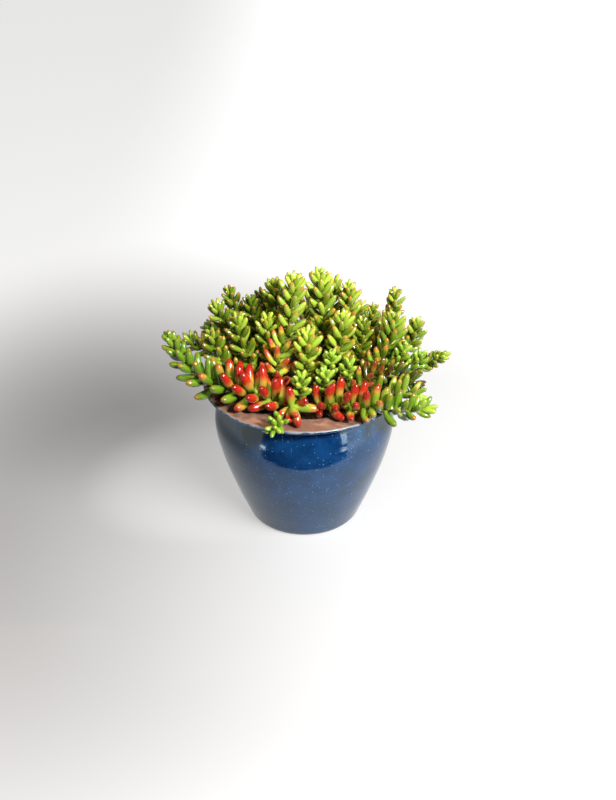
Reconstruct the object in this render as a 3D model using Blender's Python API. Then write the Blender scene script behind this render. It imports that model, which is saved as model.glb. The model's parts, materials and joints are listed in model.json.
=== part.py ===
"""Potted jelly bean plant: a turned, glazed stoneware pot, its potting mix, and 42 leafy stems.

Units are metres, +Z is up. The origin is on the pot's axis, at the surface that the pot stands on,
and the plant's front faces -Y.
"""

import math
import random

import bmesh
import bpy
import numpy as np

MM = 0.001

# Pot: a turned shape, its wide lip flaring out over a narrow neck.
POT_HEIGHT = 137 * MM
LIP_RADIUS = 90 * MM
MOUTH_RADIUS = 60 * MM
LIP_EDGE = 3.4 * MM
LIP_FALL = 5 * MM
NECK = (75 * MM, 125 * MM)
BELLY = ((52 * MM, 3 * MM), (63.8 * MM, 33 * MM), (75.6 * MM, 69 * MM), (80.7 * MM, 99 * MM), NECK)
FOOT_RADIUS = 50 * MM
FOOT_RING_WIDTH = 8 * MM
FOOT_RECESS = 2.5 * MM
WALL = 8.5 * MM
FLOOR = 9 * MM
DRAIN_RADIUS = 8 * MM
POT_SIDES = 32
BELLY_POINTS = 6

# Potting mix, which fills the pot to just under the mouth.
SOIL_LEVEL = 129 * MM
SEAT_GAP = 0.3 * MM
SOIL_SIDES = 24
HOLE_SIDES = 5

# Stems
STEM_RADIUS = 1.9 * MM
STEM_TIP_RADIUS = 1.2 * MM
STEM_DEPTH = 16 * MM
STEM_STEP = 1 * MM
HOLE_GAP = 0.4 * MM

# Leaves: how they are set on a stem, counted from its tip.
SEED = 7
GOLDEN_ANGLE = math.radians(137.508)
TIP_GAP = 0.7 * MM
FULL_GAP = 1.9 * MM
GAP_GROWTH = 0.06
OLD_ZONE = 80 * MM
TIP_REACH = 10 * MM
TIP_SPREAD = math.radians(18)
FULL_SPREAD = math.radians(54)
FOOT_SPREAD = math.radians(66)
LYING_SPREAD = math.radians(22)
LEAF_CURL = 1
LEAF_LIFT = 0.5
LEAF_SWAY = math.radians(5)
GROWN_SHARE = 0.92
LEAF_ROOT = -0.06
CLEARANCE = 0.4 * MM
LEAF_STATIONS = (0.22, 0.36, 0.5, 0.64, 0.78, 0.9)
LEAF_WIDTHS = (
    (0.0, 0.38), (0.13, 0.69), (0.3, 0.92), (0.48, 1.0), (0.68, 0.95), (0.83, 0.77), (0.93, 0.48), (1.0, 0.0))

# What a leaf tries, in turn, where it would touch a neighbour: spread, turn and length.
LEAF_TRIES = [
    (spread_share, math.radians(turn), size)
    for size in (1.0, 0.86, 0.72)
    for spread_share in (1.0, 0.8, 0.6, 0.42)
    for turn in (0, 15, -15, 30, -30, 45, -45)
]


def shoot(finish, leaf, bare, route, sparse=1.0, head=0.62, plump=0.28, zone=10, grown=None):
    """One leafy stem, in mm: its finish, the length of its oldest leaves, how much of it is bare above
    the mix, its route from where it leaves the mix, how many times wider than usual its leaves are set,
    how long the leaves at its tip are, as a share of its oldest, how thick its leaves are for their
    length, how far from its tip they have opened, and how far from it they are grown."""
    return {
        "finish": finish, "leaf": leaf, "bare": bare, "route": route, "sparse": sparse, "head": head,
        "plump": plump, "zone": zone, "grown": grown or zone}


STEMS = {
    "trailer_left": shoot("red", 26, 3, [
        (-14, -46), (-33, -49, 147), (-48, -45, 147), (-63, -39, 148), (-78, -36, 152), (-94, -32, 161),
        (-108, -22, 174), (-118, -10, 190)], 1.25, head=0.45, plump=0.29, grown=60),
    "trailer_right": shoot("red", 23, 2, [
        (10, -49), (24, -57, 145), (41, -61, 145), (58, -67, 146), (74, -72, 147), (92, -72, 147),
        (110, -68, 149)], 1.25, head=0.55, plump=0.31, grown=35),
    "trailer_front": shoot("young", 12, 34, [
        (-14, -53), (-17, -66, 142), (-20, -82, 143), (-24, -93, 143), (-27, -104, 143)],
        head=0.7, plump=0.36, zone=5),
    "stub_front": shoot("red", 24, 8, [
        (-5, -52), (-8, -58, 141), (-11, -67, 147), (-12, -77, 151)], 4, head=0.8, plump=0.35, zone=2),
    "trailer_right_high": shoot("blush", 18, 3, [
        (37, -42), (43, -41, 149), (52, -38, 157), (64, -36, 160), (78, -36, 159), (91, -38, 155),
        (104, -40, 151)], 1.3),
    "trailer_right_low": shoot("green", 20, 4, [
        (42, -35), (57, -46, 146), (74, -51, 149), (88, -52, 151), (104, -53, 149)], 1.7),
    "trailer_right_far": shoot("green", 17, 12, [
        (56, 0), (82, -8, 148), (98, -14, 157), (112, -20, 166), (126, -26, 177)],
        0.85, head=0.48, plump=0.26, grown=45),
    "leader_centre": shoot("blush", 20, 4, [
        (-27, -26), (-24, -23, 158), (-20, -16, 172), (-14, -8, 186), (-11, -2, 208), (-8, 3, 239)],
        head=0.55),
    "rosette_front": shoot("young", 15, 8, [(-3, -42), (-3, -49, 150), (-2, -55, 175)],
        1.3, head=0.65, plump=0.27, zone=7),
    "rosette_middle": shoot("young", 15, 8, [(15, -36), (17, -42, 152), (18, -46, 175)],
        1.3, head=0.65, plump=0.27, zone=7),
    "rosette_right_low": shoot("young", 14, 14, [(34, -32), (37, -36, 160), (38, -39, 181)],
        1.3, head=0.65, plump=0.27, zone=7),
    "rosette_right_high": shoot("young", 14, 20, [(19, -24), (22, -31, 164), (23, -35, 186)],
        1.3, head=0.65, plump=0.27, zone=7),
    "inner_left_low": shoot("green", 19, 6, [
        (-44, -18), (-66, -17, 155), (-75, -16, 173), (-80, -16, 194)], 1.1),
    "inner_left_high": shoot("green", 18, 14, [(-40, -8), (-49, -13, 166), (-55, -12, 184), (-58, -9, 207)]),
    "inner_centre_left": shoot("green", 17, 20, [(-26, -9), (-31, -4, 170), (-32, -2, 184), (-31, -1, 203)]),
    "inner_centre": shoot("green", 19, 14, [(1, -21), (2, -25, 168), (3, -25, 182), (2, -23, 200)],
        plump=0.31),
    "inner_centre_right": shoot("green", 20, 18, [
        (27, -14), (30, -17, 168), (32, -16, 188), (34, -13, 211)], head=0.55),
    "left_high": shoot("green", 16, 14, [(-40, 8), (-62, 12, 170), (-72, 12, 190), (-79, 12, 209)]),
    "left_back_high": shoot("blush", 15, 16, [(-38, 22), (-54, 29, 172), (-62, 30, 192), (-67, 30, 215)]),
    "left_shade": shoot("green", 16, 20, [(-27, 16), (-40, 22, 172), (-46, 25, 190), (-48, 26, 208)]),
    "crown_left": shoot("green", 18, 30, [(-13, 6), (-20, 16, 180), (-25, 20, 204), (-27, 22, 225)]),
    "crown_left_back": shoot("green", 15, 24, [(-22, 30), (-31, 38, 170), (-38, 41, 190), (-40, 42, 207)]),
    "crown_centre": shoot("green", 20, 34, [(12, 0), (17, 5, 176), (16, 10, 204), (12, 15, 237)], head=0.55),
    "crown_centre_back": shoot("green", 15, 26, [(14, 20), (22, 30, 176), (26, 33, 200), (27, 34, 223)]),
    "crown_right": shoot("blush", 17, 28, [(28, 8), (38, 15, 174), (40, 19, 198), (38, 22, 222)]),
    "crown_right_back": shoot("blush", 13, 22, [(40, 22), (54, 29, 166), (60, 31, 182), (62, 31, 198)]),
    "inner_right": shoot("green", 15, 18, [(43, -1), (49, 2, 162), (51, 4, 178), (51, 5, 197)]),
    "right_back_high": shoot("blush", 15, 16, [(50, 20), (72, 32, 168), (80, 35, 188), (81, 36, 211)]),
    "right_high": shoot("blush", 20, 10, [(50, -9), (68, -8, 161), (76, -3, 178), (79, 2, 203)], head=0.55),
    "right_outer": shoot("green", 15, 14, [(52, 6), (84, 10, 158), (96, 12, 170), (100, 14, 193)]),
    "right_small": shoot("young", 13, 12, [(50, -20), (70, -18, 156), (82, -18, 166), (87, -19, 186)],
        1.3, head=0.65, plump=0.28, zone=7),
    "right_small_low": shoot("young", 13, 16, [(46, -29), (78, -26, 156), (96, -22, 162), (102, -22, 180)],
        1.3, head=0.65, plump=0.28, zone=7),
    "back_left_low": shoot("blush", 17, 6, [(-52, 8), (-78, 22, 149), (-96, 30, 152), (-112, 34, 162)]),
    "back_left_outer": shoot("red", 17, 6, [(-48, 22), (-66, 46, 150), (-80, 58, 150), (-95, 67, 157)]),
    "back_left": shoot("blush", 17, 6, [(-36, 38), (-50, 62, 150), (-60, 76, 152), (-69, 87, 162)]),
    "back_centre_left": shoot("red", 17, 6, [(-18, 46), (-24, 70, 150), (-30, 86, 152), (-34, 96, 160)]),
    "back_centre": shoot("blush", 17, 6, [(2, 48), (4, 72, 149), (7, 90, 148), (9, 103, 152)]),
    "back_centre_right": shoot("red", 17, 6, [(22, 46), (31, 68, 150), (38, 82, 152), (44, 92, 162)]),
    "back_right": shoot("blush", 17, 6, [(38, 36), (56, 52, 152), (68, 64, 154), (80, 74, 164)]),
    "back_right_outer": shoot("green", 17, 6, [(53, 14), (78, 32, 149), (94, 40, 151), (107, 45, 160)]),
    "back_inner_left": shoot("green", 16, 16, [(-26, 34), (-38, 52, 160), (-46, 60, 174), (-50, 62, 187)]),
    "back_inner_centre": shoot("blush", 16, 18, [(-4, 32), (0, 44, 168), (4, 50, 186), (6, 52, 200)]),
    "back_inner_right": shoot("green", 16, 16, [(28, 30), (42, 48, 160), (50, 56, 172), (54, 58, 185)]),
}

FINISHES = {
    "green": ((0.30, 0.50, 0.05), 0.35),
    "blush": ((0.45, 0.47, 0.06), 0.35),
    "red": ((0.62, 0.24, 0.06), 0.35),
    "young": ((0.38, 0.62, 0.07), 0.35),
}
GLAZE = ((0.06, 0.13, 0.25), 0.15)
MIX = ((0.09, 0.06, 0.045), 0.95)

LEAF_SIDES = 3
STEM_TOLERANCE = 0.55 * MM
KEPT_LEAVES = (0, 3)
KEPT_CYCLE = 7


def material(name, colour, roughness):
    """A Principled material of that colour."""
    made = bpy.data.materials.new(name)
    made.use_nodes = True
    shader = made.node_tree.nodes["Principled BSDF"]
    shader.inputs["Base Color"].default_value = (*colour, 1)
    shader.inputs["Roughness"].default_value = roughness
    shader.inputs["Metallic"].default_value = 0
    return made


def add_object(name, mesh, finish):
    """A scene object for a mesh, shaded smooth, with its material."""
    obj = bpy.data.objects.new(name, mesh)
    bpy.context.scene.collection.objects.link(obj)
    mesh.materials.clear()
    mesh.materials.append(finish)
    mesh.shade_smooth()
    mesh.set_sharp_from_angle(angle=math.radians(50))
    return obj


def turned_mesh(name, profile, sides):
    """A closed ring-shaped solid: an outline of (radius, height) points, turned about the Z axis."""
    bm = bmesh.new()
    verts = [bm.verts.new((radius, 0, height)) for radius, height in profile]
    edges = [bm.edges.new((verts[i], verts[(i + 1) % len(verts)])) for i in range(len(verts))]
    bmesh.ops.spin(
        bm, geom=verts + edges, cent=(0, 0, 0), axis=(0, 0, 1), angle=2 * math.pi, steps=sides,
        use_merge=True, use_duplicate=False)
    bmesh.ops.remove_doubles(bm, verts=bm.verts, dist=1e-6)
    bmesh.ops.recalc_face_normals(bm, faces=bm.faces)
    mesh = bpy.data.meshes.new(name)
    bm.to_mesh(mesh)
    bm.free()
    return mesh


def distances(line):
    """How far along a line each of its points lies."""
    return np.concatenate([[0], np.cumsum(np.linalg.norm(np.diff(line, axis=0), axis=1))])


def even_points(line, count, share=1.0):
    """That many points an even way apart along a line, or along the first share of it."""
    along = distances(line)
    wanted = np.linspace(0, along[-1] * share, count)
    return np.stack([np.interp(wanted, along, line[:, k]) for k in range(line.shape[1])], axis=1)


def smooth_line(points):
    """A Catmull-Rom curve through the points, as closely set points."""
    points = [np.array(p, float) for p in points]
    points = [2 * points[0] - points[1]] + points + [2 * points[-1] - points[-2]]
    line = []
    for a, b, c, d in zip(points, points[1:], points[2:], points[3:]):
        for t in np.linspace(0, 1, 24, endpoint=False):
            curve = 2 * b + (c - a) * t + (2 * a - 5 * b + 4 * c - d) * t**2 + (3 * b - a - 3 * c + d) * t**3
            line.append(curve / 2)
    return np.array(line + [points[-2]])


def outer_profile():
    """The pot's outside, from its foot to the edge of its lip, as (radius, height) points."""
    belly = [tuple(point) for point in even_points(smooth_line(BELLY), BELLY_POINTS)]
    return [(FOOT_RADIUS, 0)] + belly + [
        (NECK[0] + 2 * MM, NECK[1] + 4.5 * MM),
        (LIP_RADIUS - 2 * MM, POT_HEIGHT - LIP_EDGE - 0.8 * MM),
        (LIP_RADIUS, POT_HEIGHT - LIP_EDGE * 0.6),
    ]


def lip_profile():
    """The pot's lip, from its outer edge down its gentle slope to the mouth."""
    return [
        (LIP_RADIUS - 1.6 * MM, POT_HEIGHT),
        (MOUTH_RADIUS + 3 * MM, POT_HEIGHT - 0.85 * LIP_FALL),
        (MOUTH_RADIUS, POT_HEIGHT - LIP_FALL - 1 * MM),
    ]


def inner_profile():
    """The pot's hollow, from its mouth to its floor, one wall inside the belly."""
    belly = [(x - WALL, z) for x, z in even_points(smooth_line(BELLY), BELLY_POINTS)[-2:0:-1]]
    return [(MOUTH_RADIUS, NECK[1] + 2 * MM)] + belly + [(FOOT_RADIUS - 6 * MM, FLOOR)]


def build_pot():
    """The pot: foot ring, recessed base with its drain hole, belly, neck and lip, in one piece."""
    ring_inside = FOOT_RADIUS - FOOT_RING_WIDTH
    profile = (
        [(ring_inside, 0)] + outer_profile() + lip_profile() + inner_profile()
        + [(DRAIN_RADIUS, FLOOR), (DRAIN_RADIUS, FOOT_RECESS), (ring_inside, FOOT_RECESS)]
    )
    add_object("pot", turned_mesh("pot", profile, POT_SIDES), material("glazed_stoneware", *GLAZE))


def build_soil(feet):
    """The potting mix, a filling that follows the pot's hollow, with a plain hole for each stem."""
    flat_share = math.cos(math.pi / POT_SIDES)
    outline = [(radius * flat_share - SEAT_GAP, height) for radius, height in inner_profile()]
    outline = [(outline[0][0], SOIL_LEVEL)] + outline[:-1] + [(outline[-1][0], FLOOR + SEAT_GAP)]
    bm = bmesh.new()
    verts = [bm.verts.new((radius, 0, height)) for radius, height in outline]
    edges = [bm.edges.new((verts[i], verts[i + 1])) for i in range(len(verts) - 1)]
    bmesh.ops.spin(
        bm, geom=verts + edges, cent=(0, 0, 0), axis=(0, 0, 1), angle=2 * math.pi, steps=SOIL_SIDES,
        use_merge=True, use_duplicate=False)
    bmesh.ops.remove_doubles(bm, verts=bm.verts, dist=1e-6)
    bmesh.ops.holes_fill(bm, edges=bm.edges, sides=0)
    bmesh.ops.recalc_face_normals(bm, faces=bm.faces)
    mesh = bpy.data.meshes.new("soil")
    bm.to_mesh(mesh)
    bm.free()
    soil = add_object("soil", mesh, material("potting_mix", *MIX))
    holes = []
    depth = STEM_DEPTH + HOLE_GAP
    radius = (STEM_RADIUS + HOLE_GAP) / math.cos(math.pi / HOLE_SIDES)
    for x, y in feet:
        cutter = bmesh.new()
        bmesh.ops.create_cone(
            cutter, cap_ends=True, segments=HOLE_SIDES, radius1=radius, radius2=radius, depth=2 * depth)
        bmesh.ops.translate(cutter, verts=cutter.verts, vec=(x, y, SOIL_LEVEL))
        mesh = bpy.data.meshes.new("hole")
        cutter.to_mesh(mesh)
        cutter.free()
        holes.append(bpy.data.objects.new("hole", mesh))
    combine(soil, holes, "DIFFERENCE")


def combine(base, others, operation):
    """Applies one Boolean of all the other objects to the base, then removes them."""
    group = bpy.data.collections.new("group")
    bpy.context.scene.collection.children.link(group)
    for other in others:
        group.objects.link(other)
    boolean = base.modifiers.new(operation.lower(), "BOOLEAN")
    boolean.operation = operation
    boolean.operand_type = "COLLECTION"
    boolean.collection = group
    boolean.solver = "MANIFOLD"
    with bpy.context.temp_override(object=base, active_object=base):
        bpy.ops.object.modifier_apply(modifier=boolean.name)
    for other in others:
        bpy.data.objects.remove(other)
    bpy.data.collections.remove(group)


def unit(vector):
    return vector / np.linalg.norm(vector)


def stem_line(points):
    """A stem's middle line, as points STEM_STEP apart. It starts straight up, and it stops short of
    the last point of its route, which the leaves at its tip reach."""
    below = np.array(points[0]) - (0, 0, STEM_DEPTH)
    line = smooth_line([below] + points)
    line = line[np.argmin(np.linalg.norm(line - points[0], axis=1)):]
    whole = distances(line)[-1]
    length = whole - TIP_REACH
    return even_points(line, round(length / STEM_STEP) + 1, length / whole)


def side_frames(line):
    """Two side directions for each point of a line, carried along it without a twist."""
    tangents = np.gradient(line, axis=0)
    tangents /= np.linalg.norm(tangents, axis=1)[:, None]
    first = unit(np.cross(tangents[0], (0, 1, 0)))
    firsts = []
    for tangent in tangents:
        first = unit(first - tangent * (first @ tangent))
        firsts.append(first)
    firsts = np.array(firsts)
    return tangents, firsts, np.cross(tangents, firsts)


def leaf_stations(length, bare, sparse):
    """How far each leaf sits from the stem's tip: close together at the tip, and wider apart below."""
    stations, at = [], 0.4 * MM
    while at < length - bare:
        stations.append(at)
        at += sparse * min(FULL_GAP, TIP_GAP + GAP_GROWTH * at)
    return stations


def leaf_width(t):
    """A leaf's half width, as a share of its widest, at a share t of its length."""
    return np.interp(t, *zip(*LEAF_WIDTHS))


def leaf_line(leaf, t):
    """Points on the middle line of a leaf, at shares t of its length."""
    root, start, end, length = leaf["root"], leaf["start"], leaf["end"], leaf["length"]
    bend = root + start * 0.5 * length
    tip = bend + end * 0.5 * length
    t = np.asarray(t, float)[:, None]
    return (1 - t) ** 2 * root + 2 * t * (1 - t) * bend + t**2 * tip


def leaf_at(stem, index, spread_share=1.0, turn=0.0, size=1.0):
    """The leaf that a stem carries at one of its stations, tilted, turned or shortened."""
    line, (tangents, firsts, seconds) = stem["line"], stem["frames"]
    from_tip = stem["stations"][index]
    i = max(len(line) - 1 - round(from_tip / STEM_STEP), 0)
    age = min(from_tip / stem["zone"], 1.0)
    old = min(from_tip / OLD_ZONE, 1.0)
    lying = 1 - abs(tangents[i][2])
    sway, stretch = stem["sways"][index]
    opening = TIP_SPREAD + (FULL_SPREAD - TIP_SPREAD) * age**0.7 + (FOOT_SPREAD - FULL_SPREAD) * old
    opening = (opening + LYING_SPREAD * lying * age + sway * LEAF_SWAY) * spread_share
    angle = index * GOLDEN_ANGLE + stem["turn"] + turn + sway * LEAF_SWAY
    side = firsts[i] * math.cos(angle) + seconds[i] * math.sin(angle)
    up = np.array((0, 0, LEAF_LIFT)) * age * lying
    start = unit(tangents[i] * math.cos(opening) + side * math.sin(opening) + up)
    end = unit(start + LEAF_CURL * age * (1 - 0.7 * lying) * tangents[i] + 1.6 * up)
    grown = min(from_tip / stem["grown"], 1.0)
    share = stem["head"] + (GROWN_SHARE - stem["head"]) * grown + (1 - GROWN_SHARE) * old
    length = stem["leaf"] * share * size * (1 + 0.06 * stretch)
    girth = stem["plump"] * stem["leaf"] * (0.15 + 0.85 * share) * (0.4 + 0.6 * size)
    return {"root": line[i], "start": start, "end": end, "length": length, "girth": girth, "index": index}


def balls_of(leaf):
    """A leaf as a row of balls, for telling how near it comes to its neighbours."""
    centres = leaf_line(leaf, LEAF_STATIONS)
    radii = leaf_width(LEAF_STATIONS) * leaf["girth"] / 2
    return centres, radii


def pot_outline():
    """The line that leaves keep clear of, in the plane through the pot's axis: pot, mouth and mix."""
    mouth = [(MOUTH_RADIUS, SOIL_LEVEL + 2 * MM), (0, SOIL_LEVEL)]
    return np.array(outer_profile() + lip_profile()[:-1] + mouth)


def pot_clearance(centres, radii, outline):
    """How far the balls stay from the pot and the mix."""
    points = np.stack([np.hypot(centres[:, 0], centres[:, 1]), centres[:, 2]], axis=1)
    starts, runs = outline[:-1], np.diff(outline, axis=0)
    share = ((points[:, None] - starts) * runs).sum(2) / (runs**2).sum(1)
    nearest = starts + np.clip(share, 0, 1)[..., None] * runs
    return (np.linalg.norm(points[:, None] - nearest, axis=2).min(1) - radii).min()


def is_clear(leaf, own, outline, stem_balls, placed):
    """Whether a leaf keeps its clearance from the pot, from other stems and from their leaves."""
    centres, radii = balls_of(leaf)
    if pot_clearance(centres, radii, outline) < CLEARANCE:
        return False
    for others, sizes, owners in (stem_balls, placed):
        near = (owners != own) & (np.abs(others - centres[2]).max(1) < 26 * MM)
        if near.any():
            apart = np.linalg.norm(centres[:, None] - others[near], axis=2)
            if (apart - radii[:, None] - sizes[near]).min() < CLEARANCE:
                return False
    return True


def grow():
    """Every stem with its leaves. Leaves are set tip first, a ring of stems at a time, and each is
    turned or drawn in until it clears its neighbours, or left out where it can't."""
    draw = random.Random(SEED)
    stems = []
    for number, (name, plan) in enumerate(STEMS.items()):
        foot, *rest = plan["route"]
        points = [(foot[0] * MM, foot[1] * MM, SOIL_LEVEL + 2 * MM)]
        points += [(x * MM, y * MM, z * MM) for x, y, z in rest]
        line = stem_line(points)
        stations = leaf_stations((len(line) - 1) * STEM_STEP, plan["bare"] * MM, plan["sparse"])
        stems.append({
            "name": name, "finish": plan["finish"], "leaf": plan["leaf"] * MM, "head": plan["head"],
            "plump": plan["plump"], "zone": plan["zone"] * MM, "grown": plan["grown"] * MM,
            "line": line, "frames": side_frames(line), "foot": points[0], "turn": number * 0.7,
            "stations": stations, "sways": [(draw.uniform(-1, 1), draw.uniform(-1, 1)) for _ in stations],
            "leaves": [],
        })
    stem_balls = (
        np.concatenate([s["line"] for s in stems]),
        np.concatenate([np.full(len(s["line"]), STEM_RADIUS) for s in stems]),
        np.concatenate([np.full(len(s["line"]), i) for i, s in enumerate(stems)]),
    )
    placed = (np.zeros((0, 3)), np.zeros(0), np.zeros(0, int))
    outline = pot_outline()
    for index in range(max(len(s["stations"]) for s in stems)):
        for own, stem in enumerate(stems):
            if index >= len(stem["stations"]):
                continue
            for spread_share, turn, size in LEAF_TRIES:
                leaf = leaf_at(stem, index, spread_share, turn, size)
                if is_clear(leaf, own, outline, stem_balls, placed):
                    centres, radii = balls_of(leaf)
                    owners = np.full(len(radii), own)
                    placed = tuple(np.concatenate(pair) for pair in zip(placed, (centres, radii, owners)))
                    stem["leaves"].append(leaf)
                    break
    return stems


def bean_mesh(sides, stations):
    """A jelly bean leaf of unit length along Z, with a pointed root that goes through its stem's
    middle: a half outline, spun about its long axis."""
    bm = bmesh.new()
    outline = [(0, LEAF_ROOT)] + [(leaf_width(t) / 2, t) for t in stations] + [(0, 1)]
    verts = [bm.verts.new((radius, 0, height)) for radius, height in outline]
    edges = [bm.edges.new((verts[i], verts[i + 1])) for i in range(len(verts) - 1)]
    bmesh.ops.spin(
        bm, geom=verts + edges, cent=(0, 0, 0), axis=(0, 0, 1), angle=2 * math.pi, steps=sides,
        use_merge=True, use_duplicate=False)
    bmesh.ops.remove_doubles(bm, verts=bm.verts, dist=1e-5)
    bmesh.ops.recalc_face_normals(bm, faces=bm.faces)
    mesh = bpy.data.meshes.new("bean")
    bm.to_mesh(mesh)
    bm.free()
    return mesh


def leaf_object(leaf, bean):
    """A copy of the bean, bent along the leaf's middle line."""
    mesh = bean.copy()
    points = np.zeros(len(mesh.vertices) * 3)
    mesh.vertices.foreach_get("co", points)
    points = points.reshape(-1, 3)
    middle = leaf_line(leaf, points[:, 2])
    ahead = leaf_line(leaf, points[:, 2] + 0.01) - middle
    ahead /= np.linalg.norm(ahead, axis=1)[:, None]
    across = np.cross(leaf["start"], leaf["end"] + 0.01 * np.array((0.3, 0.5, 0.8)))
    across = unit(across)
    over = np.cross(ahead, across)
    points = middle + (points[:, :1] * across + points[:, 1:2] * over) * leaf["girth"]
    mesh.vertices.foreach_set("co", points.ravel())
    mesh.update()
    return bpy.data.objects.new("leaf", mesh)


def corner_points(line):
    """Which points of a line to keep, so that straight runs between them stay within STEM_TOLERANCE."""
    kept = [0]
    while kept[-1] < len(line) - 1:
        start, end = kept[-1], kept[-1] + 1
        while end < len(line) - 1:
            run = unit(line[end + 1] - line[start])
            offsets = line[start:end + 2] - line[start]
            apart = np.linalg.norm(offsets - np.outer(offsets @ run, run), axis=1)
            if apart.max() > STEM_TOLERANCE:
                break
            end += 1
        kept.append(end)
    return kept


def stem_object(stem):
    """The bare stem: a tapered tube with its foot in the mix, made from a curve with filled caps."""
    line = stem["line"]
    picked = line[corner_points(line)]
    foot = np.array(stem["foot"]) - (0, 0, STEM_DEPTH)
    points = np.concatenate([[foot], picked])
    curve = bpy.data.curves.new("stem", "CURVE")
    curve.dimensions = "3D"
    curve.bevel_depth = STEM_RADIUS
    curve.bevel_resolution = 0
    curve.use_fill_caps = True
    spline = curve.splines.new("POLY")
    spline.points.add(len(points) - 1)
    taper = STEM_TIP_RADIUS / STEM_RADIUS
    for i, point in enumerate(points):
        spline.points[i].co = (*point, 1)
        spline.points[i].radius = 1 + (taper - 1) * max(i - 1, 0) / (len(points) - 2)
    obj = bpy.data.objects.new("stem", curve)
    bpy.context.scene.collection.objects.link(obj)
    bpy.context.view_layer.update()
    mesh = bpy.data.meshes.new_from_object(obj.evaluated_get(bpy.context.evaluated_depsgraph_get()))
    bpy.data.objects.remove(obj)
    bm = bmesh.new()
    bm.from_mesh(mesh)
    bmesh.ops.remove_doubles(bm, verts=bm.verts, dist=1e-6)
    bmesh.ops.recalc_face_normals(bm, faces=bm.faces)
    bm.to_mesh(mesh)
    bm.free()
    return mesh


def kept_leaves(stems):
    """The leaves that the solids carry, a list for each stem: two in seven, which lie evenly round
    it, and those whose tips reach furthest each way, so that the part keeps its whole size."""
    leaves = [leaf for stem in stems for leaf in stem["leaves"]]
    tips = np.array([leaf_line(leaf, [1])[0] for leaf in leaves])
    furthest = {*tips.argmax(axis=0), *tips[:, :2].argmin(axis=0)}
    outer = [leaves[i] for i in furthest]
    return [
        [leaf for leaf in stem["leaves"]
         if leaf["index"] % KEPT_CYCLE in KEPT_LEAVES or any(leaf is other for other in outer)]
        for stem in stems
    ]


def build_stems(stems):
    """Each stem as one solid with its kept leaves."""
    finishes = {name: material(f"leaf_{name}", *values) for name, values in FINISHES.items()}
    bean = bean_mesh(LEAF_SIDES, (0.42, 0.86))
    for stem, kept in zip(stems, kept_leaves(stems)):
        obj = add_object(stem["name"], stem_object(stem), finishes[stem["finish"]])
        combine(obj, [leaf_object(leaf, bean) for leaf in kept], "UNION")
        obj.data.shade_smooth()
        obj.data.set_sharp_from_angle(angle=math.radians(50))


def main():
    for obj in list(bpy.data.objects):
        bpy.data.objects.remove(obj)
    stems = grow()
    build_pot()
    build_soil([stem["foot"][:2] for stem in stems])
    build_stems(stems)


main()
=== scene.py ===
"""A jelly bean plant in its glazed stoneware pot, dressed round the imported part.

Everything is in metres, in the part's own frame: +Z is up, the origin is under the pot's axis, and the
plant's front faces -Y. The sections follow the plant as it is potted: the pot, the mix, the stems with
their leaves, and last the place where it is photographed.
"""

import json
import math
import random

import bpy
import numpy as np
from mathutils import Euler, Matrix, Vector

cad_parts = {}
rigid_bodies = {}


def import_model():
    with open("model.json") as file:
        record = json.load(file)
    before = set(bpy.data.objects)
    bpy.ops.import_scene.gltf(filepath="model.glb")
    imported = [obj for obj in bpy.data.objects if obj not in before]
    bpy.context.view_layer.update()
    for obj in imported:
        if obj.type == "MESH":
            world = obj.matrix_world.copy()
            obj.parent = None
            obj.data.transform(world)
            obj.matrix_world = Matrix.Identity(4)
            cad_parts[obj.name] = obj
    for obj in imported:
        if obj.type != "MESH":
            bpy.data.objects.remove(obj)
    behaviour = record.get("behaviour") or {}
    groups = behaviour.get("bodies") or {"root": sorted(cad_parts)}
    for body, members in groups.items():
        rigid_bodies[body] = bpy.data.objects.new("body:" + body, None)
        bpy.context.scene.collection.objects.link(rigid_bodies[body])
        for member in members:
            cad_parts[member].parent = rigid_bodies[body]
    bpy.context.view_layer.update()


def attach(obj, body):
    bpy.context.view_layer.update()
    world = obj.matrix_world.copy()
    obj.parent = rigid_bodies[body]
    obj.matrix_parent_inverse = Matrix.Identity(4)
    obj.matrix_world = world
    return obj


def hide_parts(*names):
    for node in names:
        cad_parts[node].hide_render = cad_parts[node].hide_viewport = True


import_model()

MM = 0.001


# The pot. It is thrown on the wheel in buff stoneware, with a trimmed foot, a full belly and a wide flat
# lip that leans in to the mouth. The outside is dipped in a cobalt glaze up to the lip's edge, and the
# lip's top, the inside and the foot stay bare clay.
POT_HEIGHT = 137 * MM
LIP_RADIUS = 90 * MM
LIP_EDGE = 3.4 * MM
LIP_FALL = 5 * MM
MOUTH_RADIUS = 60 * MM
NECK = (75 * MM, 125 * MM)
BELLY = ((52 * MM, 3 * MM), (63.8 * MM, 33 * MM), (75.6 * MM, 69 * MM), (80.7 * MM, 99 * MM), NECK)
FOOT_RADIUS = 50 * MM
FOOT_RING_WIDTH = 8 * MM
FOOT_RECESS = 2.5 * MM
WALL = 8.5 * MM
FLOOR = 9 * MM
DRAIN_RADIUS = 8 * MM
POT_SIDES = 144
RING_STEP = 2.2 * MM
FINGER_RING = 6.5 * MM
FINGER_DEPTH = 0.03 * MM


def deselect():
    """Leaves nothing selected and no mesh in edit mode, so that the next operator acts on its own piece."""
    if bpy.context.object and bpy.context.object.mode != "OBJECT":
        bpy.ops.object.mode_set(mode="OBJECT")
    bpy.ops.object.select_all(action="DESELECT")


def distances(line):
    """How far along a line each of its points lies."""
    return np.concatenate([[0], np.cumsum(np.linalg.norm(np.diff(line, axis=0), axis=1))])


def even_points(line, count, share=1.0):
    """That many points an even way apart along a line, or along the first share of it."""
    along = distances(line)
    wanted = np.linspace(0, along[-1] * share, count)
    return np.stack([np.interp(wanted, along, line[:, k]) for k in range(line.shape[1])], axis=1)


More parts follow.
